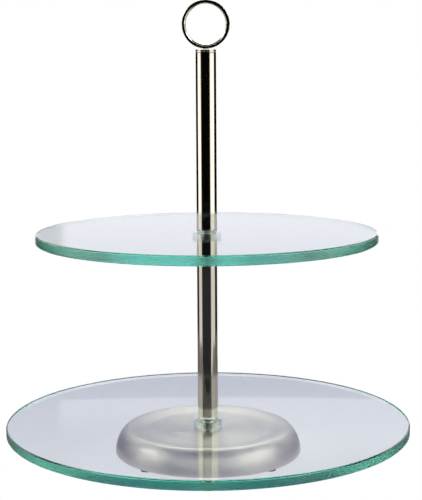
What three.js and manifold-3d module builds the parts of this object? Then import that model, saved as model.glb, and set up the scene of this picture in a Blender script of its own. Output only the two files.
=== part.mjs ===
// Two-tier glass cake stand: a pressed steel base, two round glass plates, two
// steel tubes that screw together through the plates, and a ring to carry it by.
// Millimetres, +Z up. Origin: centre of the footprint, on the surface it stands on.

import * as THREE from 'three';
import { mergeVertices } from 'three/addons/utils/BufferGeometryUtils.js';
import Module from 'manifold-3d';

const wasm = await Module();
wasm.setup();

// ---------------------------------------------------------------- dimensions

const CLEAR = 0.1;               // flat clearance left on each face of the clamped plastic pieces

// base pressing
const BASE_R = 69.5;             // outer radius at the foot
const BASE_SHEET = 0.9;          // sheet thickness
const BASE_FOOT_Z = 1.8;         // underside of the turned-in flange
const BASE_CREST_R = 59.5;       // radius of the raised shoulder's crest
const BASE_CREST_Z = 20.8;
const BASE_DISH_R = 48.0;        // flat middle, sunk below the crest
const BASE_DISH_Z = 18.7;
const BASE_FLANGE_R = 58.8;      // inner edge of the turned-in flange
const BASE_CORNER_R = 1.6;
const BASE_CURVE = 1.7;          // exponent of the outer wall's curve
const BASE_HOLE_R = 3.4;

// non-slip pads
const PAD_R = 4.0;
const PAD_T = 1.5;
const PAD_RING_R = 63.3;

// plates
const LOWER_PLATE_R = 150;
const UPPER_PLATE_R = 125;
const GLASS_T = 7;
const GLASS_ARRIS = 1.1;
const GLASS_HOLE_R = 5.0;

// plastic
const SPACER_R = 10.4;
const SPACER_T = 6;
const SPIGOT_R = 4.7;
const SPIGOT_H = 5.6;
const WASHER_T = 1.2;

// tubes and what they hold
const TUBE_R = 7.5;
const TUBE_WALL = 1.0;
const LOWER_TUBE_L = 127.5;
const UPPER_TUBE_L = 130;        // with its end cap
const INSERT_R = 6.35;
const INSERT_L = 18;
const BORE_R = 3.25;             // clears the plain shank that stands for the M6 thread
const THREAD_R = 3.0;
const CAP_LIP = 1.8;
const CAP_PLUG_L = 12;
const CAP_EDGE = 1.2;

// screw under the base
const SCREW_L = 30;
const HEAD_R = 6.0;
const HEAD_H = 3.6;
const FLAT_WASHER_R = 11.0;
const FLAT_WASHER_T = 1.5;
const SPRING_WASHER_R = 5.6;
const SPRING_WASHER_T = 1.6;

// stud between the tubes
const STUD_L = 35;
const STUD_TOP_ENGAGED = 9.4;

// ring: flat faces, bevelled towards the finger hole
const RING_OUTER_R = 17.25;
const RING_W = 3.0;              // radial width
const RING_HALF_T = 1.5;         // half its thickness
const STEM_R = 1.45;
const STEM_HOLE_R = 1.8;
const STEM_DEPTH = 11;

// ---------------------------------------------------------------- levels up the pole

const Z_SPACER = BASE_DISH_Z;                       // lower spacer stands in the dish
const Z_GLASS = Z_SPACER + SPACER_T;                // lower plate, underside
const Z_WASHER = Z_GLASS + GLASS_T;
const Z_TUBE = Z_WASHER + WASHER_T;
const Z_SPACER2 = Z_TUBE + LOWER_TUBE_L;
const Z_GLASS2 = Z_SPACER2 + SPACER_T;
const Z_WASHER2 = Z_GLASS2 + GLASS_T;
const Z_TUBE2 = Z_WASHER2 + WASHER_T;
const Z_TOP = Z_TUBE2 + UPPER_TUBE_L;               // top face of the end cap
const Z_RING = Z_TOP + 0.3 + RING_OUTER_R;          // ring's centre

// ---------------------------------------------------------------- helpers

// A closed, indexed body: shared vertices merged, empty triangles dropped, faces outward.
function closed(geometry) {
  const g = geometry.clone();
  g.deleteAttribute('normal');
  g.deleteAttribute('uv');
  const m = mergeVertices(g, 1e-4);
  const p = m.attributes.position;
  const src = Array.from(m.index.array);
  const idx = [];
  let volume = 0;
  const a = new THREE.Vector3(), b = new THREE.Vector3(), c = new THREE.Vector3();
  for (let i = 0; i < src.length; i += 3) {
    const [i0, i1, i2] = [src[i], src[i + 1], src[i + 2]];
    if (i0 === i1 || i1 === i2 || i0 === i2) continue;
    a.fromBufferAttribute(p, i0); b.fromBufferAttribute(p, i1); c.fromBufferAttribute(p, i2);
    volume += a.dot(b.cross(c)) / 6;
    idx.push(i0, i1, i2);
  }
  if (volume < 0) for (let i = 0; i < idx.length; i += 3) [idx[i + 1], idx[i + 2]] = [idx[i + 2], idx[i + 1]];
  const out = new THREE.BufferGeometry();
  out.setAttribute('position', new THREE.BufferAttribute(new Float32Array(p.array), 3));
  out.setIndex(idx);
  return mergeVertices(out, 1e-4);
}

// Turned body about Z from a profile of [radius, height] pairs.
// On the axis at both ends, or closed on itself.
function turned(profile, segments, loop = false) {
  const pts = profile.map(([r, z]) => new THREE.Vector2(Math.max(r, 0), z));
  if (loop) pts.push(pts[0].clone());
  const g = new THREE.LatheGeometry(pts, segments);
  g.rotateX(Math.PI / 2);
  return closed(g);
}

// Ring-shaped turned body: inner radius, outer radius, from z0 to z1, with small chamfers.
function sleeve(ri, ro, z0, z1, segments, ch = 0.25) {
  return turned([
    [ri + ch, z0], [ro - ch, z0], [ro, z0 + ch], [ro, z1 - ch], [ro - ch, z1],
    [ri + ch, z1], [ri, z1 - ch], [ri, z0 + ch],
  ], segments, true);
}

// Solid turned pin.
function pin(r, z0, z1, segments, ch = 0.5) {
  return turned([[0, z0], [r - ch, z0], [r, z0 + ch], [r, z1 - ch], [r - ch, z1], [0, z1]], segments);
}

function toSolid(geometry) {
  const g = closed(geometry);
  return new wasm.Manifold(new wasm.Mesh({
    numProp: 3,
    vertProperties: new Float32Array(g.attributes.position.array),
    triVerts: new Uint32Array(g.index.array),
  }));
}

function fromSolid(solid) {
  const m = solid.getMesh();
  const g = new THREE.BufferGeometry();
  const n = m.vertProperties.length / m.numProp;
  const pos = new Float32Array(n * 3);
  for (let i = 0; i < n; i++) for (let k = 0; k < 3; k++) pos[i * 3 + k] = m.vertProperties[i * m.numProp + k];
  g.setAttribute('position', new THREE.BufferAttribute(pos, 3));
  g.setIndex(Array.from(m.triVerts));
  return closed(g);
}

// ---------------------------------------------------------------- materials

const steelSatin = { color: 0xb9b7b2, roughness: 0.34, metalness: 1 };
const steelPolished = { color: 0xcfccc4, roughness: 0.1, metalness: 1 };
const steelZinc = { color: 0xa9acb0, roughness: 0.4, metalness: 1 };
const glassGreen = { color: 0xd6ece4, roughness: 0.03, metalness: 0, transparent: true, opacity: 0.4 };
const clearPlastic = { color: 0xe3e8e8, roughness: 0.12, metalness: 0, transparent: true, opacity: 0.5 };
const rubber = { color: 0x2a2a2b, roughness: 0.85, metalness: 0 };

const stand = new THREE.Group();
stand.name = 'tiered_cake_stand';

function add(name, geometry, look) {
  const mesh = new THREE.Mesh(geometry, new THREE.MeshStandardMaterial(look));
  mesh.name = name;
  stand.add(mesh);
  return mesh;
}

// ---------------------------------------------------------------- base

// Outer skin, from the centre hole out over the dish, the crest and down the wall to the foot.
const outer = [];
outer.push([BASE_HOLE_R, BASE_DISH_Z], [BASE_DISH_R - 4, BASE_DISH_Z]);
for (let i = 1; i <= 4; i++) {                       // rise from the dish to the crest
  const t = i / 4;
  const s = t * t * (3 - 2 * t);
  outer.push([BASE_DISH_R - 4 + (BASE_CREST_R - BASE_DISH_R + 4) * t, BASE_DISH_Z + (BASE_CREST_Z - BASE_DISH_Z) * s]);
}
const wallFoot = BASE_FOOT_Z + BASE_CORNER_R;
for (let i = 1; i <= 7; i++) {                       // outer wall, steepening to the foot
  const a = (i / 7) * Math.PI / 2;
  outer.push([
    BASE_CREST_R + (BASE_R - BASE_CREST_R) * Math.pow(Math.sin(a), 2 / BASE_CURVE),
    wallFoot + (BASE_CREST_Z - wallFoot) * Math.pow(Math.max(Math.cos(a), 0), 2 / BASE_CURVE),
  ]);
}
for (let i = 1; i <= 2; i++) {                       // small radius into the flange
  const a = (i / 2) * Math.PI / 2;
  outer.push([BASE_R - BASE_CORNER_R + BASE_CORNER_R * Math.cos(a), wallFoot - BASE_CORNER_R * Math.sin(a)]);
}
outer.push([BASE_FLANGE_R, BASE_FOOT_Z]);

// Inner skin: the outer one set in by the sheet's thickness.
const inner = [];
for (let i = 0; i < outer.length; i++) {
  const p0 = outer[Math.max(i - 1, 0)], p1 = outer[i], p2 = outer[Math.min(i + 1, outer.length - 1)];
  const d1 = [p1[0] - p0[0], p1[1] - p0[1]], d2 = [p2[0] - p1[0], p2[1] - p1[1]];
  const l1 = Math.hypot(...d1) || 1, l2 = Math.hypot(...d2) || 1;
  let nx = (d1[1] / l1 + d2[1] / l2), nz = -(d1[0] / l1 + d2[0] / l2);
  if (i === 0 || i === outer.length - 1) { nx = i ? d1[1] / l1 : d2[1] / l2; nz = i ? -d1[0] / l1 : -d2[0] / l2; }
  const l = Math.hypot(nx, nz);
  nx /= l; nz /= l;
  inner.push([p1[0] + nx * BASE_SHEET, p1[1] + nz * BASE_SHEET]);
}
// the small corner folds up on itself once set in, so it becomes one point
const cornerFrom = outer.length - 4, cornerTo = outer.length - 2;
const innerClean = inner.filter((_, i) => i < cornerFrom || i > cornerTo);
innerClean.splice(cornerFrom, 0, [BASE_R - BASE_SHEET, BASE_FOOT_Z + BASE_SHEET + 0.6], [BASE_R - BASE_SHEET - 0.6, BASE_FOOT_Z + BASE_SHEET]);
add('base_dome', turned([...outer, ...innerClean.reverse()], 60, true), steelSatin);

for (let i = 0; i < 4; i++) {
  const a = Math.PI / 4 + i * Math.PI / 2;
  const pad = turned([[0, 0], [PAD_R - 0.4, 0], [PAD_R, 0.4], [PAD_R, PAD_T - 0.2], [PAD_R - 0.2, PAD_T], [0, PAD_T]], 20);
  const mesh = add(`foot_pad_${i + 1}`, pad, rubber);
  mesh.position.set(PAD_RING_R * Math.cos(a), PAD_RING_R * Math.sin(a), 0);
}

// screw, washers
const zUnder = BASE_DISH_Z - BASE_SHEET;             // underside of the dish
const zFlat1 = zUnder - CLEAR, zFlat0 = zFlat1 - FLAT_WASHER_T;
const zSpring1 = zFlat0 - CLEAR, zSpring0 = zSpring1 - SPRING_WASHER_T;
const zBearing = zSpring0 - CLEAR;                   // underside of the head, as it clamps
add('base_flat_washer', sleeve(BORE_R, FLAT_WASHER_R, zFlat0, zFlat1, 32, 0.2), steelZinc);

let spring = toSolid(sleeve(BORE_R, SPRING_WASHER_R, zSpring0, zSpring1, 24, 0.15));
const slit = new THREE.BoxGeometry(6, 0.7, 6);
slit.rotateX(0.5);
slit.translate(5.4, 0, (zSpring0 + zSpring1) / 2);
spring = spring.subtract(toSolid(slit));
add('base_spring_washer', fromSolid(spring), steelZinc);

let screw = toSolid(turned([
  [0, zBearing - HEAD_H], [3.0, zBearing - HEAD_H], [4.6, zBearing - HEAD_H + 0.5], [5.6, zBearing - HEAD_H + 1.4],
  [HEAD_R, zBearing - HEAD_H + 2.6], [HEAD_R, zBearing - 0.2], [HEAD_R - 0.2, zBearing], [THREAD_R, zBearing],
  [THREAD_R, zBearing + SCREW_L - 0.7], [THREAD_R - 0.7, zBearing + SCREW_L], [0, zBearing + SCREW_L],
], 24));
for (const turn of [0, Math.PI / 2]) {               // cross recess
  const arm = new THREE.BoxGeometry(6.2, 1.1, 4.4);
  arm.rotateZ(turn);
  arm.translate(0, 0, zBearing - HEAD_H);
  screw = screw.subtract(toSolid(arm));
}
add('base_screw', fromSolid(screw), steelZinc);

// ---------------------------------------------------------------- plastic, plates

function spacer(name, z) {
  add(name, turned([
    [BORE_R + 0.2, z + CLEAR], [SPACER_R - 0.5, z + CLEAR], [SPACER_R, z + CLEAR + 0.5],
    [SPACER_R, z + SPACER_T - CLEAR - 0.5], [SPACER_R - 0.5, z + SPACER_T - CLEAR],
    [SPIGOT_R, z + SPACER_T - CLEAR], [SPIGOT_R, z + SPACER_T + SPIGOT_H - 0.4],
    [SPIGOT_R - 0.4, z + SPACER_T + SPIGOT_H], [BORE_R + 0.2, z + SPACER_T + SPIGOT_H],
    [BORE_R, z + SPACER_T + SPIGOT_H - 0.2], [BORE_R, z + CLEAR + 0.2],
  ], 32, true), clearPlastic);
}

function plate(name, r, z) {
  const a = GLASS_ARRIS, h = 0.5;
  add(name, turned([
    [GLASS_HOLE_R + h, z], [r - a, z], [r, z + a], [r, z + GLASS_T - a], [r - a, z + GLASS_T],
    [GLASS_HOLE_R + h, z + GLASS_T], [GLASS_HOLE_R, z + GLASS_T - h], [GLASS_HOLE_R, z + h],
  ], 72, true), glassGreen);
}

spacer('lower_spacer', Z_SPACER);
plate('lower_glass_plate', LOWER_PLATE_R, Z_GLASS);
add('lower_washer', sleeve(BORE_R, TUBE_R, Z_WASHER + CLEAR, Z_TUBE - CLEAR, 32, 0.2), clearPlastic);

spacer('upper_spacer', Z_SPACER2);
plate('upper_glass_plate', UPPER_PLATE_R, Z_GLASS2);
add('upper_washer', sleeve(BORE_R, TUBE_R, Z_WASHER2 + CLEAR, Z_TUBE2 - CLEAR, 32, 0.2), clearPlastic);

// ---------------------------------------------------------------- tubes, inserts, stud

add('lower_tube', sleeve(TUBE_R - TUBE_WALL, TUBE_R, Z_TUBE, Z_SPACER2, 36, 0.3), steelPolished);
add('lower_tube_bottom_insert', sleeve(BORE_R, INSERT_R, Z_TUBE + 0.2, Z_TUBE + 0.2 + INSERT_L, 24, 0.4), steelZinc);
add('lower_tube_top_insert', sleeve(BORE_R, INSERT_R, Z_SPACER2 - 0.2 - INSERT_L, Z_SPACER2 - 0.2, 24, 0.4), steelZinc);

const zStudTop = Z_TUBE2 + STUD_TOP_ENGAGED;
add('joining_stud', pin(THREAD_R, zStudTop - STUD_L, zStudTop, 24, 0.7), steelZinc);

const zLip = Z_TOP - CAP_LIP;
add('upper_tube', sleeve(TUBE_R - TUBE_WALL, TUBE_R, Z_TUBE2, zLip - CLEAR, 36, 0.3), steelPolished);
add('upper_tube_bottom_insert', sleeve(BORE_R, INSERT_R, Z_TUBE2 + 0.2, Z_TUBE2 + 0.2 + INSERT_L, 24, 0.4), steelZinc);

const capEdge = [];
for (let i = 0; i <= 4; i++) {
  const a = (i / 4) * Math.PI / 2;
  capEdge.push([TUBE_R - CAP_EDGE + CAP_EDGE * Math.cos(a), Z_TOP - CAP_EDGE + CAP_EDGE * Math.sin(a)]);
}
add('tube_end_cap', turned([
  [STEM_HOLE_R, zLip - CAP_PLUG_L], [INSERT_R - 0.5, zLip - CAP_PLUG_L], [INSERT_R, zLip - CAP_PLUG_L + 0.5],
  [INSERT_R, zLip], [TUBE_R, zLip], ...capEdge, [STEM_HOLE_R, Z_TOP],
], 40, true), steelPolished);

// ---------------------------------------------------------------- ring

const half = [                                       // outer corner, flat face, bevel, blunt inner nose
  [RING_OUTER_R, RING_HALF_T - 0.3], [RING_OUTER_R - 0.25, RING_HALF_T], [RING_OUTER_R - 1.35, RING_HALF_T],
  [RING_OUTER_R - 1.85, RING_HALF_T - 0.2], [RING_OUTER_R - 2.45, RING_HALF_T - 0.57],
  [RING_OUTER_R - 2.9, RING_HALF_T - 0.98], [RING_OUTER_R - RING_W, RING_HALF_T - 1.25],
];
const section = [...half, ...half.map(([r, y]) => [r, -y]).reverse()];
const ring = turned(section, 60, true);
ring.rotateX(-Math.PI / 2);                          // stands up, axis Y
ring.translate(0, 0, Z_RING);
const stem = pin(STEM_R, Z_TOP - STEM_DEPTH, Z_RING - RING_OUTER_R + 1.5, 24, 0.3);
add('ring_handle', fromSolid(toSolid(ring).add(toSolid(stem))), steelPolished);

export default stand;
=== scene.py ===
# Two-tier glass cake stand: the looks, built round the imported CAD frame.
# Metres, +Z up, in the row frame. Lengths below are written in millimetres and scaled by MM.

import math

import bpy
import bmesh
import numpy as np
from mathutils import Matrix, Vector


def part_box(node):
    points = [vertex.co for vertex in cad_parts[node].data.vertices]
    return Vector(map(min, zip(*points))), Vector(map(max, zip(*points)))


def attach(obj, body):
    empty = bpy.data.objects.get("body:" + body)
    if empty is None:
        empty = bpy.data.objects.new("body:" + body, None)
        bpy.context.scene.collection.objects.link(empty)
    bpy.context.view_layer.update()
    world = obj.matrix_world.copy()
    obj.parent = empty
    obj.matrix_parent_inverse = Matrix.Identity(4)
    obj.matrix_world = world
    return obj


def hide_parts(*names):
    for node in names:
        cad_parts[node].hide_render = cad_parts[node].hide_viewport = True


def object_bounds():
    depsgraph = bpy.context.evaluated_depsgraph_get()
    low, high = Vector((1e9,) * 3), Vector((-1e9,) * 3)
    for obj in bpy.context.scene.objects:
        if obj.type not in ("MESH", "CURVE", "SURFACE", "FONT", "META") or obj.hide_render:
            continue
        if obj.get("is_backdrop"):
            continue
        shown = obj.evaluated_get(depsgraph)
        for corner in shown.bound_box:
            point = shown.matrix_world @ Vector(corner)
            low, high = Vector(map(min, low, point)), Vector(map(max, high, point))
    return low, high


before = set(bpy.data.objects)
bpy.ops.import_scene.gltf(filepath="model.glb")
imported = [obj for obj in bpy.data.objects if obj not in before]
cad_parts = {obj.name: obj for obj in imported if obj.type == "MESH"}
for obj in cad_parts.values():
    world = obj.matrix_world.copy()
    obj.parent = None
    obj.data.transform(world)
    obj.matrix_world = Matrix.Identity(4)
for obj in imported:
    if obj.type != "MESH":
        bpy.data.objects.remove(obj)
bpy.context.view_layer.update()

MM = 0.001
TAU = 2 * math.pi


# ------------------------------------------------------------------ mesh helpers

def finish_mesh(name, verts, faces, sharp_deg=32.0):
    """A mesh object from millimetre vertices, faces out, smooth with sharp edges kept."""
    mesh = bpy.data.meshes.new(name)
    mesh.from_pydata([(x * MM, y * MM, z * MM) for x, y, z in verts], [], faces)
    bm = bmesh.new()
    bm.from_mesh(mesh)
    bmesh.ops.remove_doubles(bm, verts=bm.verts, dist=1e-8)
    bmesh.ops.recalc_face_normals(bm, faces=bm.faces)
    if bm.calc_volume(signed=True) < 0:
        bmesh.ops.reverse_faces(bm, faces=bm.faces)
    bm.to_mesh(mesh)
    bm.free()
    mesh.shade_smooth()
    if sharp_deg is not None:
        mesh.set_sharp_from_angle(angle=math.radians(sharp_deg))
    obj = bpy.data.objects.new(name, mesh)
    bpy.context.scene.collection.objects.link(obj)
    return obj


def revolve(profile, segments, loop, phase=0.0):
    """Vertices and faces of a turned body from (radius, height) pairs: closed on itself, or on the axis at both ends."""
    verts, rows = [], []
    for r, z in profile:
        if r < 1e-6:
            rows.append([len(verts)] * segments)
            verts.append((0.0, 0.0, z))
            continue
        start = len(verts)
        for i in range(segments):
            a = phase + TAU * i / segments
            verts.append((r * math.cos(a), r * math.sin(a), z))
        rows.append(list(range(start, start + segments)))
    faces = []
    count = len(rows) if loop else len(rows) - 1
    for j in range(count):
        a, b = rows[j], rows[(j + 1) % len(rows)]
        for i in range(segments):
            k = (i + 1) % segments
            quad = [a[i], a[k], b[k], b[i]]
            quad = [v for n, v in enumerate(quad) if v != quad[n - 1]]
            if len(quad) > 2:
                faces.append(quad)
    return verts, faces


def rounded(points, loop=True, steps=4):
    """A polyline of (r, z, fillet) with each corner turned into an arc of that radius."""
    out = []
    n = len(points)
    for i, (r, z, f) in enumerate(points):
        p = np.array([r, z], float)
        if f <= 0 or (not loop and i in (0, n - 1)):
            out.append((r, z))
            continue
        a = np.array(points[i - 1][:2], float) - p
        b = np.array(points[(i + 1) % n][:2], float) - p
        la, lb = np.linalg.norm(a), np.linalg.norm(b)
        a, b = a / la, b / lb
        angle = math.acos(max(-1.0, min(1.0, float(a @ b))))
        if angle > math.radians(176):
            out.append((r, z))
            continue
        t = min(f / math.tan(angle / 2), la * 0.48, lb * 0.48)
        rad = t * math.tan(angle / 2)
        mid = (a + b) / np.linalg.norm(a + b)
        c = p + mid * (rad / math.sin(angle / 2))
        s, e = p + a * t, p + b * t
        a0, a1 = math.atan2(*(s - c)[::-1]), math.atan2(*(e - c)[::-1])
        d = (a1 - a0 + math.pi) % TAU - math.pi
        for k in range(steps + 1):
            w = a0 + d * k / steps
            out.append((c[0] + rad * math.cos(w), c[1] + rad * math.sin(w)))
    return out


def lathe(name, points, segments=128, loop=True, steps=4, sharp_deg=32.0):
    verts, faces = revolve(rounded(points, loop, steps), segments, loop)
    return finish_mesh(name, verts, faces, sharp_deg)


def thread_height(phase):
    """Share of the full thread height at a place across the pitch, 0 to 1: flat root, 60 degree flanks, flat crest."""
    p = phase % 1.0
    p = 0.5 - abs(p - 0.5)
    return min(1.0, max(0.0, (p - 0.085) / 0.335))


def helicoid(z0, z1, root, crest, pitch, columns, rows_per_pitch, taper0, taper1, hand=1.0):
    """Rows of vertices up a threaded cylinder from z0 to z1, single-valued in radius; taper is the lead-in length at each end."""
    rows = []
    n = int(math.ceil((z1 - z0) / pitch * rows_per_pitch))
    for j in range(n + 1):
        z = z0 + (z1 - z0) * j / n
        row = []
        for i in range(columns):
            a = TAU * i / columns
            h = thread_height(z / pitch - hand * i / columns)
            r = root + (crest - root) * h
            d0, d1 = z - z0, z1 - z
            if taper0 > 0 and d0 < taper0:
                r = min(r, root - 0.35 + (crest - root + 0.35) * d0 / taper0) if crest > root else max(r, root + 0.35 + (crest - root - 0.35) * d0 / taper0)
            if taper1 > 0 and d1 < taper1:
                r = min(r, root - 0.35 + (crest - root + 0.35) * d1 / taper1) if crest > root else max(r, root + 0.35 + (crest - root - 0.35) * d1 / taper1)
            row.append((r * math.cos(a), r * math.sin(a), z))
        rows.append(row)
    return rows


def skin(rows, close_first=None, close_last=None, loop=False):
    """Verts and faces from rows of equal length; a close point caps an end with a fan."""
    verts = [v for row in rows for v in row]
    n = len(rows[0])
    faces = []
    for j in range(len(rows) if loop else len(rows) - 1):
        a, b = j * n, ((j + 1) % len(rows)) * n
        for i in range(n):
            k = (i + 1) % n
            faces.append([a + i, a + k, b + k, b + i])
    if close_first is not None:
        c = len(verts)
        verts.append(close_first)
        faces += [[c, (i + 1) % n, i] for i in range(n)]
    if close_last is not None:
        c = len(verts)
        verts.append(close_last)
        base = (len(rows) - 1) * n
        faces += [[c, base + i, base + (i + 1) % n] for i in range(n)]
    return verts, faces


def ring_row(r, z, columns):
    return [(r * math.cos(TAU * i / columns), r * math.sin(TAU * i / columns), z) for i in range(columns)]


def boolean(target, tool, operation):
    mod = target.modifiers.new("cut", "BOOLEAN")
    mod.operation, mod.solver, mod.object = operation, "EXACT", tool
    bpy.context.view_layer.update()
    dg = bpy.context.evaluated_depsgraph_get()
    mesh = bpy.data.meshes.new_from_object(target.evaluated_get(dg))
    target.modifiers.clear()
    old = target.data
    target.data = mesh
    bpy.data.meshes.remove(old)
    bpy.data.objects.remove(tool, do_unlink=True)
    return target


def resmooth(obj, sharp_deg=32.0):
    bm = bmesh.new()
    bm.from_mesh(obj.data)
    bmesh.ops.remove_doubles(bm, verts=bm.verts, dist=2e-8)
    bmesh.ops.dissolve_degenerate(bm, edges=bm.edges, dist=1e-8)
    bmesh.ops.recalc_face_normals(bm, faces=bm.faces)
    bm.to_mesh(obj.data)
    bm.free()
    obj.data.shade_smooth()
    obj.data.set_sharp_from_angle(angle=math.radians(sharp_deg))
    return obj


# ------------------------------------------------------------------ levels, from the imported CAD

def span(node):
    lo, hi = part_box(node)
    return lo / MM, hi / MM


dome_lo, dome_hi = span("base_dome")
pads = {n: span(n) for n in ("foot_pad_1", "foot_pad_2", "foot_pad_3", "foot_pad_4")}
fw_lo, fw_hi = span("base_flat_washer")
sw_lo, sw_hi = span("base_spring_washer")
sc_lo, sc_hi = span("base_screw")
ls_lo, ls_hi = span("lower_spacer")
lp_lo, lp_hi = span("lower_glass_plate")
lw_lo, lw_hi = span("lower_washer")
lt_lo, lt_hi = span("lower_tube")
us_lo, us_hi = span("upper_spacer")
up_lo, up_hi = span("upper_glass_plate")
uw_lo, uw_hi = span("upper_washer")
ut_lo, ut_hi = span("upper_tube")
cap_lo, cap_hi = span("tube_end_cap")
ring_lo, ring_hi = span("ring_handle")
st_lo, st_hi = span("joining_stud")

TUBE_R = lt_hi.x
BASE_R = dome_hi.x
BORE_R = 3.25
THREAD_R = 2.97


# ------------------------------------------------------------------ materials

class Tree:
    """Short names for the nodes a procedural material needs."""

    def __init__(self, name):
        self.mat = bpy.data.materials.new(name)
        self.mat.use_nodes = True
        self.nt = self.mat.node_tree
        self.nt.nodes.clear()
        self.out = self.nt.nodes.new("ShaderNodeOutputMaterial")
        self.bsdf = self.nt.nodes.new("ShaderNodeBsdfPrincipled")
        self.nt.links.new(self.bsdf.outputs["BSDF"], self.out.inputs["Surface"])

    def new(self, kind, **props):
        n = self.nt.nodes.new(kind)
        for k, v in props.items():
            setattr(n, k, v)
        return n

    def put(self, socket, value):
        if isinstance(value, bpy.types.NodeSocket):
            self.nt.links.new(value, socket)
        else:
            socket.default_value = value

    def math(self, op, a, b=0.0, c=0.0, clamp=False):
        n = self.new("ShaderNodeMath", operation=op, use_clamp=clamp)
        self.put(n.inputs[0], a)
        self.put(n.inputs[1], b)
        self.put(n.inputs[2], c)
        return n.outputs[0]

    def xyz(self):
        co = self.new("ShaderNodeTexCoord")
        s = self.new("ShaderNodeSeparateXYZ")
        self.nt.links.new(co.outputs["Object"], s.inputs[0])
        return co.outputs["Object"], s.outputs[0], s.outputs[1], s.outputs[2]

    def vec(self, x, y, z):
        n = self.new("ShaderNodeCombineXYZ")
        self.put(n.inputs[0], x)
        self.put(n.inputs[1], y)
        self.put(n.inputs[2], z)
        return n.outputs[0]

    def noise(self, vector, scale, detail=3.0, rough=0.55, distortion=0.0):
        n = self.new("ShaderNodeTexNoise", noise_dimensions="3D")
        self.nt.links.new(vector, n.inputs["Vector"])
        n.inputs["Scale"].default_value = scale
        n.inputs["Detail"].default_value = detail
        n.inputs["Roughness"].default_value = rough
        n.inputs["Distortion"].default_value = distortion
        return n.outputs["Fac"]

    def spread(self, value, lo, hi, to_lo, to_hi, smooth=False):
        n = self.new("ShaderNodeMapRange", interpolation_type="SMOOTHSTEP" if smooth else "LINEAR", clamp=True)
        self.put(n.inputs["Value"], value)
        n.inputs["From Min"].default_value = lo
        n.inputs["From Max"].default_value = hi
        n.inputs["To Min"].default_value = to_lo
        n.inputs["To Max"].default_value = to_hi
        return n.outputs["Result"]

    def mix(self, fac, a, b):
        n = self.new("ShaderNodeMix", data_type="RGBA", blend_type="MIX")
        self.put(n.inputs["Factor"], fac)
        self.put(n.inputs[6], a)
        self.put(n.inputs[7], b)
        return n.outputs[2]

    def bump(self, height, strength, distance, normal=None):
        n = self.new("ShaderNodeBump")
        n.inputs["Strength"].default_value = strength
        n.inputs["Distance"].default_value = distance
        self.put(n.inputs["Height"], height)
        if normal is not None:
            self.nt.links.new(normal, n.inputs["Normal"])
        return n.outputs["Normal"]


def satin_steel():
    """Spun satin stainless: fine rings of grain about the pole, broken up along their length."""
    t = Tree("satin_stainless")
    obj, x, y, z = t.xyz()
    r = t.math("SQRT", t.math("ADD", t.math("MULTIPLY", x, x), t.math("MULTIPLY", y, y)))
    a = t.math("ARCTAN2", y, x)
    # the seam of the angle is closed by reading it as a point on a circle
    ca, sa = t.math("COSINE", a), t.math("SINE", a)
    across = t.math("ADD", t.math("MULTIPLY", r, 1.0), t.math("MULTIPLY", z, -1.0))
    grain_v = t.vec(t.math("MULTIPLY", across, 5200.0), t.math("MULTIPLY", ca, 5.0), t.math("MULTIPLY", sa, 5.0))
    grain = t.noise(grain_v, 1.0, 2.0, 0.6)
    broad_v = t.vec(t.math("MULTIPLY", across, 700.0), t.math("MULTIPLY", ca, 1.6), t.math("MULTIPLY", sa, 1.6))
    broad = t.noise(broad_v, 1.0, 3.0, 0.6)
    cloud = t.noise(obj, 42.0, 3.0, 0.5)
    tone = t.math("ADD", t.math("MULTIPLY", broad, 0.6), t.math("MULTIPLY", cloud, 0.4))
    t.put(t.bsdf.inputs["Base Color"], t.mix(t.spread(tone, 0.3, 0.7, 0.0, 1.0), (0.68, 0.655, 0.615, 1), (0.76, 0.735, 0.69, 1)))
    t.put(t.bsdf.inputs["Roughness"], t.math("ADD", t.spread(grain, 0.25, 0.75, 0.41, 0.47), t.spread(cloud, 0.3, 0.7, -0.015, 0.015)))
    t.bsdf.inputs["Metallic"].default_value = 1.0
    t.bsdf.inputs["Anisotropic"].default_value = 0.4
    t.bsdf.inputs["Anisotropic Rotation"].default_value = 0.25
    tan = t.new("ShaderNodeTangent", direction_type="RADIAL", axis="Z")
    t.nt.links.new(tan.outputs[0], t.bsdf.inputs["Tangent"])
    t.put(t.bsdf.inputs["Normal"], t.bump(grain, 0.18, 0.00002))
    return t.mat


def polished_steel(name, rough_lo, rough_hi, ring=False):
    """Bright drawn tube or wire: mirror-like, with faint drawing lines, hairline wear and smudges."""
    t = Tree(name)
    obj, x, y, z = t.xyz()
    a = t.math("ARCTAN2", y, x)
    if ring:
        lines = t.noise(obj, 900.0, 3.0, 0.6, 0.4)
    else:
        ca, sa = t.math("COSINE", a), t.math("SINE", a)
        v = t.vec(t.math("MULTIPLY", ca, 70.0), t.math("MULTIPLY", sa, 70.0), t.math("MULTIPLY", z, 26.0))
        lines = t.noise(v, 1.0, 4.0, 0.62)
    smudge = t.noise(obj, 55.0, 4.0, 0.6, 0.6)
    hair = t.noise(t.vec(t.math("MULTIPLY", x, 800.0), t.math("MULTIPLY", y, 800.0), t.math("MULTIPLY", z, 90.0)), 1.0, 5.0, 0.7)
    t.put(t.bsdf.inputs["Base Color"], t.mix(t.spread(smudge, 0.35, 0.7, 0.0, 1.0), (0.70, 0.675, 0.63, 1), (0.655, 0.625, 0.575, 1)))
    t.bsdf.inputs["Metallic"].default_value = 1.0
    rough = t.math("ADD", t.spread(smudge, 0.35, 0.72, rough_lo, rough_hi), t.spread(hair, 0.6, 0.75, 0.0, 0.03))
    t.put(t.bsdf.inputs["Roughness"], rough)
    t.put(t.bsdf.inputs["Normal"], t.bump(lines, 0.1, 0.000012))
    return t.mat


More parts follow.
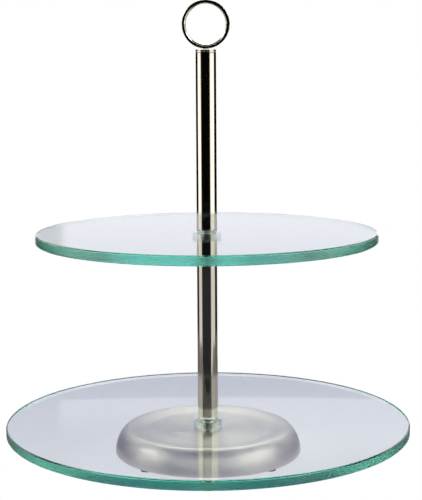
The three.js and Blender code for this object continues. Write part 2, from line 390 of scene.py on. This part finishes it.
def zinc_steel():
    """Bright zinc plate: cool, a little cloudy, with fine grit."""
    t = Tree("zinc_plated_steel")
    obj, x, y, z = t.xyz()
    cloud = t.noise(obj, 260.0, 4.0, 0.6, 0.5)
    grit = t.noise(obj, 3200.0, 2.0, 0.6)
    t.put(t.bsdf.inputs["Base Color"], t.mix(t.spread(cloud, 0.35, 0.68, 0.0, 1.0), (0.52, 0.545, 0.57, 1), (0.66, 0.67, 0.67, 1)))
    t.bsdf.inputs["Metallic"].default_value = 1.0
    t.put(t.bsdf.inputs["Roughness"], t.spread(cloud, 0.3, 0.7, 0.26, 0.42))
    t.put(t.bsdf.inputs["Normal"], t.bump(grit, 0.25, 0.00002))
    return t.mat


def float_glass():
    """Clear float glass, green through its width, with a faint roll wave and ground, polished edges."""
    t = Tree("clear_float_glass")
    obj, x, y, z = t.xyz()
    smear = t.noise(obj, 26.0, 4.0, 0.62, 0.8)
    wave = t.noise(t.vec(t.math("MULTIPLY", x, 1.0), t.math("MULTIPLY", y, 0.35), z), 9.0, 1.0, 0.4)
    geo = t.new("ShaderNodeNewGeometry")
    s = t.new("ShaderNodeSeparateXYZ")
    t.nt.links.new(geo.outputs["True Normal"], s.inputs[0])
    flat = t.math("ABSOLUTE", s.outputs[2])
    edge = t.spread(flat, 0.2, 0.8, 1.0, 0.0)
    ground = t.noise(t.vec(t.math("MULTIPLY", x, 60.0), t.math("MULTIPLY", y, 60.0), t.math("MULTIPLY", z, 4200.0)), 1.0, 2.0, 0.6)
    t.bsdf.inputs["Base Color"].default_value = (1, 1, 1, 1)
    t.bsdf.inputs["Transmission Weight"].default_value = 1.0
    t.bsdf.inputs["IOR"].default_value = 1.52
    t.put(t.bsdf.inputs["Roughness"], t.math("ADD", t.math("MULTIPLY", edge, t.spread(ground, 0.3, 0.7, 0.27, 0.30)), t.spread(smear, 0.62, 0.8, 0.0, 0.01)))
    faces = t.bump(wave, 0.05, 0.00008)
    height = t.math("MULTIPLY", edge, ground)
    t.put(t.bsdf.inputs["Normal"], t.bump(height, 0.01, 0.000005, faces))
    vol = t.new("ShaderNodeVolumeAbsorption")
    vol.inputs["Color"].default_value = (0.02, 0.76, 0.655, 1)
    vol.inputs["Density"].default_value = 7.2
    t.nt.links.new(vol.outputs[0], t.out.inputs["Volume"])
    return t.mat


def clear_plastic():
    """Moulded clear plastic: glossy, with slight flow lines and handling haze."""
    t = Tree("clear_moulded_plastic")
    obj, x, y, z = t.xyz()
    flow = t.noise(obj, 340.0, 3.0, 0.55, 0.8)
    haze = t.noise(obj, 900.0, 3.0, 0.6)
    t.bsdf.inputs["Base Color"].default_value = (0.62, 0.68, 0.66, 1)
    t.bsdf.inputs["Transmission Weight"].default_value = 1.0
    t.bsdf.inputs["IOR"].default_value = 1.47
    t.put(t.bsdf.inputs["Roughness"], t.spread(haze, 0.35, 0.7, 0.02, 0.07))
    t.put(t.bsdf.inputs["Normal"], t.bump(flow, 0.12, 0.00004))
    return t.mat


def rubber():
    """Matte black rubber with a fine moulded tooth and dusty high spots."""
    t = Tree("black_rubber")
    obj, x, y, z = t.xyz()
    tooth = t.noise(obj, 5200.0, 3.0, 0.6)
    dust = t.noise(obj, 420.0, 4.0, 0.6)
    t.put(t.bsdf.inputs["Base Color"], t.mix(t.spread(dust, 0.45, 0.75, 0.0, 1.0), (0.016, 0.016, 0.017, 1), (0.045, 0.044, 0.042, 1)))
    t.put(t.bsdf.inputs["Roughness"], t.spread(tooth, 0.3, 0.7, 0.68, 0.9))
    t.bsdf.inputs["IOR"].default_value = 1.5
    t.put(t.bsdf.inputs["Normal"], t.bump(tooth, 0.5, 0.00006))
    return t.mat


M_SATIN = satin_steel()
M_TUBE = polished_steel("polished_stainless_tube", 0.07, 0.11)
M_RING = polished_steel("polished_stainless_wire", 0.05, 0.09, ring=True)
M_ZINC = zinc_steel()
M_GLASS = float_glass()
M_PLASTIC = clear_plastic()
M_RUBBER = rubber()


def place(obj, node, body, material):
    obj.data.materials.clear()
    obj.data.materials.append(material)
    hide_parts(node)
    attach(obj, body)
    return obj


# ------------------------------------------------------------------ base

SHEET = 0.9
FOOT_Z, CORNER_R = dome_lo.z, 1.6
CREST_R, CREST_Z = 59.5, 20.8
DISH_Z = ls_lo.z - 0.1
WALL_FOOT = FOOT_Z + CORNER_R


def dome_outer(fine=True):
    """The pressing's outer skin, centre hole to the inner edge of the turned-in flange."""
    pts = [(3.4, DISH_Z)]
    for r in (8.0, 12.0, 20.0, 30.0, 38.0, 42.0):
        pts.append((r, DISH_Z))
    n = 18
    for i in range(n + 1):                          # rise from the dish to the crest
        u = i / n
        s = u * u * (3 - 2 * u)
        pts.append((44 + (CREST_R - 44) * u, DISH_Z + (CREST_Z - DISH_Z) * s))
    n = 34
    for i in range(1, n + 1):                       # outer wall
        w = (i / n) * math.pi / 2
        pts.append((
            CREST_R + (BASE_R - CREST_R) * math.sin(w) ** (2 / 1.7),
            WALL_FOOT + (CREST_Z - WALL_FOOT) * max(math.cos(w), 0) ** (2 / 1.7),
        ))
    n = 8
    for i in range(1, n + 1):                       # small radius into the flange
        w = (i / n) * math.pi / 2
        pts.append((BASE_R - CORNER_R + CORNER_R * math.cos(w), WALL_FOOT - CORNER_R * math.sin(w)))
    pts.append((62.0, FOOT_Z))
    pts.append((58.8 + 0.3, FOOT_Z))
    return pts


def set_in(pts, depth):
    """The same curve moved to its inner side by a sheet's thickness."""
    p = np.array(pts, float)
    d = np.gradient(p, axis=0)
    d[0], d[-1] = p[1] - p[0], p[-1] - p[-2]
    d /= np.linalg.norm(d, axis=1)[:, None]
    n = np.stack([d[:, 1], -d[:, 0]], axis=1)       # towards the hollow
    q = p + n * depth
    return [tuple(v) for v in q]


def build_dome():
    outer = dome_outer()
    inner = set_in(outer, SHEET)
    keep = [inner[0]]
    for q in inner[1:]:                             # drop points folded back in the tight corner
        if q[0] > BASE_R - SHEET - 1e-6:
            q = (BASE_R - SHEET, q[1])
        keep.append(q)
    clean = []
    for q in keep:
        if clean and math.hypot(q[0] - clean[-1][0], q[1] - clean[-1][1]) < 0.05:
            continue
        clean.append(q)
    # rounded raw edges at the hole and at the flange
    hole = [(3.4 - 0.0, DISH_Z - 0.25), (3.4, DISH_Z - SHEET + 0.25)]
    end = [(58.8, FOOT_Z + 0.3), (58.8, FOOT_Z + SHEET - 0.3)]
    outer[0] = (3.4 + 0.22, DISH_Z)
    clean[0] = (3.4 + 0.22, DISH_Z - SHEET)
    clean[-1] = (58.8 + 0.3, FOOT_Z + SHEET)
    profile = outer + end + clean[::-1] + hole[::-1]
    verts, faces = revolve(profile, 288, True)
    return finish_mesh("base_pressing", verts, faces, 38.0)


place(build_dome(), "base_dome", "base", M_SATIN)

for i, (node, (lo, hi)) in enumerate(sorted(pads.items())):
    c = (lo + hi) / 2
    pr = (hi.x - lo.x) / 2
    h = hi.z - lo.z
    prof = [(0, 0.0, 0)]
    for g in (1.0, 1.9, 2.8):                       # shallow moulded rings in the tread
        prof += [(g - 0.22, 0.0, 0.05), (g - 0.1, 0.16, 0.05), (g + 0.1, 0.16, 0.05), (g + 0.22, 0.0, 0.05)]
    prof += [(pr, 0.0, 0.4), (pr, h, 0.18), (0, h, 0)]
    pad = lathe(f"rubber_foot_{i + 1}", prof, 48, loop=False, steps=5)
    pad.data.transform(Matrix.Translation((c.x * MM, c.y * MM, lo.z * MM)))
    place(pad, node, "base", M_RUBBER)

# flat washer: punched, so one rim is rolled over and the other is sharp
place(lathe("penny_washer", [
    (BORE_R, fw_lo.z, 0.3), (fw_hi.x, fw_lo.z, 0.12), (fw_hi.x, fw_hi.z, 0.45), (BORE_R, fw_hi.z, 0.12),
], 96, steps=5), "base_flat_washer", "base", M_ZINC)


def build_spring_washer():
    """A split ring of square wire, its ends a touch apart and out of line."""
    r0, r1 = BORE_R + 0.03, sw_hi.x - 0.03
    z0, z1 = sw_lo.z + 0.16, sw_hi.z - 0.16
    gap = 0.11
    n = 80
    rows = []
    for i in range(n + 1):
        u = i / n
        a = gap + (TAU - 2 * gap) * u
        lift = 0.13 * (2 * u - 1)
        sec = rounded([(r0, z0 + lift, 0.18), (r1, z0 + lift + 0.05, 0.18), (r1, z1 + lift - 0.05, 0.18), (r0, z1 + lift, 0.18)], True, 3)
        skew = 0.5 / ((r0 + r1) / 2)
        rows.append([(r * math.cos(a + skew * (z - z0 - lift) / (z1 - z0) * 0.5), r * math.sin(a + skew * (z - z0 - lift) / (z1 - z0) * 0.5), z) for r, z in sec])
    verts = [v for row in rows for v in row]
    m = len(rows[0])
    faces = []
    for j in range(n):
        for i in range(m):
            k = (i + 1) % m
            faces.append([j * m + i, j * m + k, (j + 1) * m + k, (j + 1) * m + i])
    faces.append(list(range(m)))
    faces.append([n * m + i for i in range(m)][::-1])
    return finish_mesh("split_spring_washer", verts, faces, 35.0)


place(build_spring_washer(), "base_spring_washer", "base", M_ZINC)


def build_screw():
    """Pan-head machine screw with a cross recess and a cut M6 thread."""
    z0 = sc_lo.z
    bearing = z0 + 3.6
    top = sc_hi.z
    cols = 48
    head = [(0.0, z0 + 0.02)]
    for r, z in ((1.2, z0 + 0.03), (2.2, z0 + 0.1), (3.2, z0 + 0.28), (4.1, z0 + 0.55), (4.8, z0 + 0.92), (5.35, z0 + 1.4), (5.72, z0 + 1.95), (5.93, z0 + 2.5), (5.99, z0 + 2.9), (5.99, z0 + 3.25), (5.9, z0 + 3.5), (5.7, bearing)):
        head.append((r, z))
    rows = [ring_row(r, z, cols) for r, z in head[1:]]
    rows.append(ring_row(3.25, bearing, cols))
    rows.append(ring_row(2.95, bearing + 0.25, cols))
    rows.append(ring_row(2.6, bearing + 0.9, cols))
    rows += helicoid(bearing + 1.0, top, 2.42, THREAD_R, 1.0, cols, 12, 0.0, 0.9)
    verts, faces = skin(rows, (0.0, 0.0, z0 + 0.02), (0.0, 0.0, top))
    screw = finish_mesh("base_machine_screw", verts, faces, 40.0)
    # the recess: four tapered wings and a pointed middle
    depth = 2.3
    v, f = [], []
    for k in range(4):
        ang = k * math.pi / 2 + math.radians(20)
        ca, sa = math.cos(ang), math.sin(ang)
        pts = []
        for (u, w, z) in (
            (0.0, 0.62, -0.5), (3.25, 0.5, -0.5), (3.25, -0.5, -0.5), (0.0, -0.62, -0.5),
            (0.0, 0.42, depth), (1.25, 0.3, depth), (1.25, -0.3, depth), (0.0, -0.42, depth),
        ):
            pts.append((u * ca - w * sa, u * sa + w * ca, z0 + z))
        b = len(v)
        v += pts
        f += [[b + i for i in q] for q in ((0, 1, 2, 3), (7, 6, 5, 4), (0, 4, 5, 1), (1, 5, 6, 2), (2, 6, 7, 3), (3, 7, 4, 0))]
    tool = None
    for k in range(4):
        one = finish_mesh(f"wing_{k}", v[k * 8:(k + 1) * 8], [[i - 0 for i in q] for q in f[0:6]], None)
        tool = one if tool is None else boolean(tool, one, "UNION")
    boolean(screw, tool, "DIFFERENCE")
    return resmooth(screw, 38.0)


place(build_screw(), "base_screw", "base", M_ZINC)


# ------------------------------------------------------------------ plastic pieces and glass

def build_spacer(name, lo, hi):
    z0, z1 = lo.z, hi.z
    zf = z0 + 5.8
    R, sp = hi.x, 4.7
    return lathe(name, [
        (BORE_R, z0, 0.2), (R, z0, 0.5), (R, zf, 0.5), (sp, zf, 0.15), (sp - 0.08, z1, 0.4), (BORE_R, z1, 0.25),
    ], 128, steps=5)


def build_plate(name, lo, hi, segments):
    """Round plate: flat faces, ground and polished edge between two small arrises, drilled hole."""
    R, z0, z1 = hi.x, lo.z, hi.z
    a, f, h = 0.85, 0.22, 0.45
    prof = [
        (5.0 + h, z0, 0.1), (R - a, z0, f), (R, z0 + a, f), (R, z1 - a, f), (R - a, z1, f),
        (5.0 + h, z1, 0.1), (5.0, z1 - h, 0.1), (5.0, z0 + h, 0.1),
    ]
    pts = rounded(prof, True, 4)
    # a few rings across the flat faces, so that the smooth normals stay flat there
    out = []
    for i, p in enumerate(pts):
        out.append(p)
        q = pts[(i + 1) % len(pts)]
        if abs(p[1] - q[1]) < 1e-9 and abs(p[0] - q[0]) > 20:
            d = 1 if q[0] > p[0] else -1
            cuts = [p[0] + d * 1.5, p[0] + (q[0] - p[0]) * 0.25, p[0] + (q[0] - p[0]) * 0.5, p[0] + (q[0] - p[0]) * 0.75, q[0] - d * 1.5]
            out += [(c, p[1]) for c in cuts]
    verts, faces = revolve(out, segments, True)
    return finish_mesh(name, verts, faces, 60.0)


def build_washer(name, lo, hi):
    return lathe(name, [(BORE_R, lo.z, 0.15), (hi.x, lo.z, 0.22), (hi.x, hi.z, 0.22), (BORE_R, hi.z, 0.15)], 128, steps=4)


place(build_spacer("lower_spacer_bush", ls_lo, ls_hi), "lower_spacer", "base", M_PLASTIC)
place(build_plate("lower_plate_glass", lp_lo, lp_hi, 480), "lower_glass_plate", "lower_plate", M_GLASS)
place(build_washer("lower_washer_ring", lw_lo, lw_hi), "lower_washer", "lower_washer", M_PLASTIC)
place(build_spacer("upper_spacer_bush", us_lo, us_hi), "upper_spacer", "lower_post", M_PLASTIC)
place(build_plate("upper_plate_glass", up_lo, up_hi, 480), "upper_glass_plate", "upper_plate", M_GLASS)
place(build_washer("upper_washer_ring", uw_lo, uw_hi), "upper_washer", "upper_washer", M_PLASTIC)


# ------------------------------------------------------------------ pole

def build_tube(name, lo, hi):
    """Drawn tube, cut square, with its ends lightly turned back."""
    R, z0, z1 = hi.x, lo.z, hi.z
    pts = rounded([(R - 1.0, z0, 0.12), (R, z0, 0.2), (R, z1, 0.07), (R - 1.0, z1, 0.12)], True, 5)
    out = []
    for i, p in enumerate(pts):
        out.append(p)
        q = pts[(i + 1) % len(pts)]
        if abs(p[0] - q[0]) < 1e-9 and abs(p[1] - q[1]) > 20:
            d = 1 if q[1] > p[1] else -1
            out += [(p[0], p[1] + d * 1.0)] + [(p[0], p[1] + (q[1] - p[1]) * k / 8) for k in range(1, 8)] + [(p[0], q[1] - d * 1.0)]
    verts, faces = revolve(out, 160, True)
    return finish_mesh(name, verts, faces, 40.0)


def build_insert(name, node):
    """Turned and tapped plug pressed into a tube: grooved outside, threaded through."""
    lo, hi = span(node)
    R, z0, z1 = hi.x, lo.z, hi.z
    cols = 48
    bore = helicoid(z0 + 0.3, z1 - 0.3, 3.42, 3.08, 1.0, cols, 8, 0.5, 0.5)
    out = [ring_row(3.62, z0, cols), ring_row(R - 0.4, z0, cols), ring_row(R, z0 + 0.5, cols)]
    for k in range(4):                              # retaining grooves
        g = z0 + 3.2 + k * 3.8
        out += [ring_row(R, g - 0.55, cols), ring_row(R - 0.3, g - 0.3, cols), ring_row(R - 0.3, g + 0.3, cols), ring_row(R, g + 0.55, cols)]
    out += [ring_row(R, z1 - 0.5, cols), ring_row(R - 0.4, z1, cols), ring_row(3.62, z1, cols)]
    verts, faces = skin(out + bore[::-1], loop=True)
    return finish_mesh(name, verts, faces, 38.0)


def build_stud():
    """Fully threaded stud with turned ends and a screwdriver slot in the lower one."""
    z0, z1 = st_lo.z, st_hi.z
    cols = 48
    rows = helicoid(z0, z1, 2.42, THREAD_R, 1.0, cols, 12, 0.9, 0.9)
    verts, faces = skin(rows, (0.0, 0.0, z0), (0.0, 0.0, z1))
    stud = finish_mesh("threaded_stud", verts, faces, 40.0)
    slot = finish_mesh("slot", [(x, y, z) for z in (z0 - 1.0, z0 + 1.3) for x, y in ((-4, -0.5), (4, -0.5), (4, 0.5), (-4, 0.5))],
                       [[0, 1, 2, 3], [7, 6, 5, 4], [0, 4, 5, 1], [1, 5, 6, 2], [2, 6, 7, 3], [3, 7, 4, 0]], None)
    boolean(stud, slot, "DIFFERENCE")
    return resmooth(stud, 40.0)


place(build_tube("lower_pole_tube", lt_lo, lt_hi), "lower_tube", "lower_post", M_TUBE)
place(build_insert("lower_pole_foot_insert", "lower_tube_bottom_insert"), "lower_tube_bottom_insert", "lower_post", M_ZINC)
place(build_insert("lower_pole_head_insert", "lower_tube_top_insert"), "lower_tube_top_insert", "lower_post", M_ZINC)
place(build_stud(), "joining_stud", "lower_post", M_ZINC)
place(build_tube("upper_pole_tube", ut_lo, ut_hi), "upper_tube", "upper_post", M_TUBE)
place(build_insert("upper_pole_foot_insert", "upper_tube_bottom_insert"), "upper_tube_bottom_insert", "upper_post", M_ZINC)


def build_cap():
    R, z0, z1 = cap_hi.x, cap_lo.z, cap_hi.z
    lip = z1 - 1.8
    return lathe("pole_end_cap", [
        (1.8, z0, 0.15), (6.35, z0, 0.5), (6.35, lip, 0.0), (R, lip, 0.05), (R, z1, 0.6), (1.8, z1, 0.12),
    ], 160, steps=10)


place(build_cap(), "tube_end_cap", "upper_post", M_TUBE)


def build_ring():
    """Flat-faced ring, bevelled towards the finger hole, welded to its pin with the weld dressed to a small collar."""
    R, t = (ring_hi.x - ring_lo.x) / 2, (ring_hi.y - ring_lo.y) / 2
    zc = ring_hi.z - R
    half = [(R, t - 0.3, 0.25), (R - 0.25, t, 0.2), (R - 1.9, t, 0.3), (R - 2.4, t - 0.28, 0.4),
            (R - 2.85, t - 0.78, 0.4), (R - 3.0, t - 1.25, 0.3)]
    sec = rounded(half + [(r, -y, f) for r, y, f in half[::-1]], True, 5)
    n = 224
    rows = [[(r * math.cos(TAU * i / n), y, zc + r * math.sin(TAU * i / n)) for r, y in sec] for i in range(n)]
    verts, faces = skin(rows, loop=True)
    ring = finish_mesh("carry_ring", verts, faces, None)
    z0 = ring_lo.z
    foot = zc - R                                   # lowest point of the ring
    cap_top = cap_hi.z
    stem = lathe("ring_pin", [
        (0.0, z0, 0), (1.45, z0, 0.3), (1.45, cap_top - 0.2, 0.1), (2.0, cap_top + 0.06, 0.05),
        (2.05, cap_top + 0.16, 0.1), (1.3, foot + 0.5, 0.4), (0.8, foot + 1.3, 0.3), (0.0, foot + 1.4, 0),
    ], 64, loop=False, steps=5)
    boolean(ring, stem, "UNION")
    return resmooth(ring, 40.0)


place(build_ring(), "ring_handle", "upper_post", M_RING)


# ------------------------------------------------------------------ stage

def build_floor():
    """A pale sheet that the stand is on, its corners rounded."""
    x0, x1, y0, y1, rad = -420.0, 420.0, -190.0, 330.0, 120.0
    pts = []
    for cx, cy, a0 in ((x1 - rad, y0 + rad, -90), (x1 - rad, y1 - rad, 0), (x0 + rad, y1 - rad, 90), (x0 + rad, y0 + rad, 180)):
        for k in range(9):
            a = math.radians(a0 + 90 * k / 8)
            pts.append((cx + rad * math.cos(a), cy + rad * math.sin(a), 0.0))
    n = len(pts)
    verts = pts + [(x, y, -3.0) for x, y, _ in pts]
    faces = [list(range(n)), [2 * n - 1 - i for i in range(n)]] + [[i, (i + 1) % n, n + (i + 1) % n, n + i] for i in range(n)]
    floor = finish_mesh("studio_floor", verts, faces, 30.0)
    t = Tree("pale_floor")
    obj, x, y, z = t.xyz()
    grain = t.noise(obj, 700.0, 3.0, 0.6)
    t.put(t.bsdf.inputs["Base Color"], t.mix(t.spread(grain, 0.3, 0.7, 0.0, 1.0), (0.06, 0.06, 0.06, 1), (0.07, 0.07, 0.07, 1)))
    t.bsdf.inputs["Roughness"].default_value = 0.6
    # painted pool of light: the floor glows at strength 0.75 out to 85 mm from the pole, fading to nothing by 110 mm,
    # and lights the dome and pole from below
    away = t.math("SQRT", t.math("ADD", t.math("MULTIPLY", x, x), t.math("MULTIPLY", y, y)))
    t.bsdf.inputs["Emission Color"].default_value = (1.0, 0.99, 0.96, 1)
    t.put(t.bsdf.inputs["Emission Strength"], t.spread(away, 0.085, 0.11, 0.75, 0.0, True))
    # overexposed to the lens, directly and through the glass, as the white ground behind it is; modest as a light on the steel
    path = t.new("ShaderNodeLightPath")
    bounced = t.math("ADD", t.math("GREATER_THAN", path.outputs["Glossy Depth"], 0.5), t.math("GREATER_THAN", path.outputs["Diffuse Depth"], 0.5), clamp=True)
    straight = t.math("MAXIMUM", path.outputs["Is Camera Ray"], t.math("MULTIPLY", path.outputs["Is Transmission Ray"], t.math("SUBTRACT", 1.0, bounced)))
    white = t.new("ShaderNodeEmission")
    white.inputs["Color"].default_value = (1.0, 1.0, 1.0, 1)
    mixer = t.new("ShaderNodeMixShader")
    t.put(mixer.inputs[0], straight)
    t.nt.links.new(t.bsdf.outputs["BSDF"], mixer.inputs[1])
    t.nt.links.new(white.outputs[0], mixer.inputs[2])
    t.nt.links.new(mixer.outputs[0], t.out.inputs["Surface"])
    floor.data.materials.append(t.mat)
    floor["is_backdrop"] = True
    return floor


floor = build_floor()


# ------------------------------------------------------------------ studio light

def studio():
    """Two tall warm softboxes at the sides, a low white backdrop, and dark surroundings; what the lens sees past the object is plain white."""
    world = bpy.data.worlds.new("studio")
    bpy.context.scene.world = world
    world.use_nodes = True
    nt = world.node_tree
    nt.nodes.clear()

    def new(kind, **props):
        n = nt.nodes.new(kind)
        for k, v in props.items():
            setattr(n, k, v)
        return n

    def put(socket, value):
        if isinstance(value, bpy.types.NodeSocket):
            nt.links.new(value, socket)
        else:
            socket.default_value = value

    def m(op, a, b=0.0, clamp=False):
        n = new("ShaderNodeMath", operation=op, use_clamp=clamp)
        put(n.inputs[0], a)
        put(n.inputs[1], b)
        return n.outputs[0]

    def step(v, lo, hi):
        """0 below lo, 1 above hi, smooth between; falling if lo > hi."""
        n = new("ShaderNodeMapRange", interpolation_type="SMOOTHSTEP", clamp=True)
        put(n.inputs["Value"], v)
        if lo < hi:
            n.inputs["From Min"].default_value, n.inputs["From Max"].default_value = lo, hi
            n.inputs["To Min"].default_value, n.inputs["To Max"].default_value = 0.0, 1.0
        else:
            n.inputs["From Min"].default_value, n.inputs["From Max"].default_value = hi, lo
            n.inputs["To Min"].default_value, n.inputs["To Max"].default_value = 1.0, 0.0
        return n.outputs["Result"]

    def band(v, a, b, soft0, soft1):
        return m("MULTIPLY", step(v, a - soft0 / 2, a + soft0 / 2), step(v, b + soft1 / 2, b - soft1 / 2))

    def curve(v, points):
        """Piecewise value over elevation in degrees."""
        lo, hi = points[0][0], points[-1][0]
        n = new("ShaderNodeMapRange", clamp=True)
        put(n.inputs["Value"], v)
        n.inputs["From Min"].default_value, n.inputs["From Max"].default_value = lo, hi
        r = new("ShaderNodeValToRGB")
        nt.links.new(n.outputs["Result"], r.inputs["Fac"])
        e = r.color_ramp.elements
        while len(e) > 1:
            e.remove(e[-1])
        e[0].position, e[0].color = 0.0, (*points[0][1], 1)
        for d, c in points[1:]:
            k = e.new((d - lo) / (hi - lo))
            k.color = (*c, 1)
        return r.outputs["Color"]

    def scale(colour, by):
        n = new("ShaderNodeVectorMath", operation="SCALE")
        put(n.inputs[0], colour)
        put(n.inputs["Scale"], by)
        return n.outputs[0]

    def add(a, b):
        n = new("ShaderNodeVectorMath", operation="ADD")
        put(n.inputs[0], a)
        put(n.inputs[1], b)
        return n.outputs[0]

    co = new("ShaderNodeTexCoord")
    s = new("ShaderNodeSeparateXYZ")
    nt.links.new(co.outputs["Generated"], s.inputs[0])
    x, y, z = s.outputs
    deg = 180 / math.pi
    el = m("MULTIPLY", m("ARCSINE", z), deg)
    az = m("MULTIPLY", m("ARCTAN2", x, m("MULTIPLY", y, -1.0)), deg)      # 0 towards -Y, 90 towards +X
    back = m("MULTIPLY", m("ARCTAN2", x, y), deg)                          # 0 towards +Y, 90 towards +X

    warm = (1.0, 0.955, 0.86)
    side_fall = curve(el, [
        (-40.0, (0.5, 0.5, 0.5)), (-16.0, (1.0, 1.0, 1.0)), (-15.0, (1.5, 1.5, 1.5)), (-13.4, (1.5, 1.5, 1.5)), (-12.6, (0.85, 0.85, 0.85)), (-8.0, (0.85, 0.85, 0.85)),
        (-7.3, (1.75, 1.75, 1.75)), (0.7, (1.75, 1.75, 1.75)), (1.2, (0.7, 0.7, 0.7)), (4.5, (0.7, 0.7, 0.7)),
        (6.0, (0.9, 0.9, 0.9)), (19.0, (0.9, 0.9, 0.9)), (23.0, (4.7, 4.7, 4.7)), (38.0, (4.2, 4.2, 4.2)), (44.0, (0.02, 0.02, 0.02)), (90.0, (0.0, 0.0, 0.0)),
    ])
    right = band(az, 44.0, 97.0, 12.0, 6.0)
    left = band(az, -104.0, -62.0, 6.0, 14.0)
    sides = m("ADD", right, left)

    fall = curve(el, [
        (-30.0, (0.9, 0.9, 0.9)), (-6.0, (1.2, 1.2, 1.2)), (3.5, (2.2, 2.2, 2.15)), (6.2, (0.86, 0.83, 0.92)), (8.6, (0.66, 0.63, 0.73)),
        (11.5, (0.12, 0.115, 0.32)), (14.2, (0.085, 0.08, 0.30)), (14.6, (0.16, 0.145, 0.34)), (20.0, (0.17, 0.155, 0.33)), (32.0, (0.08, 0.08, 0.12)), (50.0, (0.02, 0.02, 0.025)), (90.0, (0.012, 0.012, 0.012)),
    ])
    wall = scale(fall, m("MULTIPLY", step(back, -24.0, -19.0), step(back, 24.0, 19.0)))
    wall = scale(wall, m("SUBTRACT", 1.0, m("MULTIPLY", m("MULTIPLY", step(back, -6.0, -6.6), step(el, 11.0, 9.0)), 0.36)))
    glow_r = scale((0.24, 0.235, 0.22), m("MULTIPLY", band(el, 14.5, 17.0, 0.15, 2.2), band(back, 0.6, 24.0, 1.6, 3.0)))
    glow_l = scale((0.21, 0.2, 0.19), m("MULTIPLY", band(el, 14.5, 15.5, 0.15, 1.8), band(back, -6.6, 0.6, 0.4, 1.6)))
    wall = add(wall, add(glow_r, glow_l))
    # a long low strip behind, which the glass edges gather, and a panel above and behind, which the dome's top sees
    strip = scale((0.8, 0.8, 0.8), m("MULTIPLY", band(el, 4.5, 24.0, 2.0, 4.0), m("SUBTRACT", band(back, -80.0, 80.0, 8.0, 8.0), band(back, -24.0, 24.0, 5.0, 5.0), clamp=True)))
    panel = scale((1.75, 1.66, 1.46), m("MULTIPLY", band(el, 23.0, 72.0, 4.0, 8.0), band(back, -55.0, 55.0, 14.0, 14.0)))
    over = scale((2.7, 2.6, 2.35), m("MULTIPLY", band(el, 54.0, 80.0, 5.0, 4.0), band(back, -50.0, 50.0, 14.0, 14.0)))
    panel = add(panel, over)
    # a weak fill from the front, above the lens
    fill = scale((2.7, 2.6, 2.4), m("MULTIPLY", band(el, 19.0, 38.0, 2.5, 4.0), band(az, -48.0, 48.0, 10.0, 10.0)))
    low = scale((0.9, 0.95, 1.0), m("MULTIPLY", band(el, -14.0, -8.3, 3.0, 1.2), 0.035))
    dim = (0.0012, 0.0012, 0.0013)
    tinted = new("ShaderNodeVectorMath", operation="MULTIPLY")
    put(tinted.inputs[0], scale(side_fall, sides))
    put(tinted.inputs[1], warm)
    light = add(add(add(add(add(add(tinted.outputs[0], wall), low), dim), strip), panel), fill)

    path = new("ShaderNodeLightPath")
    bounced = m("ADD", m("GREATER_THAN", path.outputs["Glossy Depth"], 0.5), m("GREATER_THAN", path.outputs["Diffuse Depth"], 0.5), clamp=True)
    straight = m("MAXIMUM", path.outputs["Is Camera Ray"], m("MULTIPLY", path.outputs["Is Transmission Ray"], m("SUBTRACT", 1.0, bounced)))
    mixer = new("ShaderNodeMix", data_type="RGBA")
    put(mixer.inputs["Factor"], straight)
    put(mixer.inputs[6], light)
    put(mixer.inputs[7], (1.0, 1.0, 1.0, 1))
    bg = new("ShaderNodeBackground")
    nt.links.new(mixer.outputs[2], bg.inputs["Color"])
    out = new("ShaderNodeOutputWorld")
    nt.links.new(bg.outputs[0], out.inputs["Surface"])
    world.cycles.sampling_method = "MANUAL"
    world.cycles.sample_map_resolution = 1024


studio()

scene = bpy.context.scene
scene.view_settings.view_transform = "Standard"
scene.view_settings.look = "None"
scene.cycles.max_bounces = 40
scene.cycles.glossy_bounces = 32
scene.cycles.transmission_bounces = 40
scene.cycles.transparent_max_bounces = 16
scene.cycles.diffuse_bounces = 4
scene.cycles.caustics_reflective = True
scene.cycles.caustics_refractive = True
scene.cycles.blur_glossy = 0.2
scene.cycles.sample_clamp_indirect = 12.0
scene.cycles.use_denoising = True


# ------------------------------------------------------------------ camera

def build_camera():
    data = bpy.data.cameras.new("camera")
    cam = bpy.data.objects.new("camera", data)
    scene.collection.objects.link(cam)
    scene.camera = cam
    focal = 1320.4                                   # in picture widths of one pixel, for a 422 by 500 frame
    data.sensor_fit = "AUTO"
    data.sensor_width = 36.0
    data.lens = focal * 36.0 / 500.0
    data.shift_x = 3.75 / 500.0
    data.shift_y = 40.0 / 500.0
    data.clip_start, data.clip_end = 0.01, 50.0
    pitch, roll = 0.172, -0.006
    fwd = Vector((0, math.cos(pitch), -math.sin(pitch)))
    right0 = Vector((1, 0, 0))
    up0 = right0.cross(fwd)
    right = right0 * math.cos(roll) + up0 * math.sin(roll)
    up = right.cross(fwd)
    rot = Matrix((right, up, -fwd)).transposed()
    cam.matrix_world = Matrix.Translation((0.0, -0.9609, 0.2965)) @ rot.to_4x4()
    data.dof.use_dof = False


build_camera()

lo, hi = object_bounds()
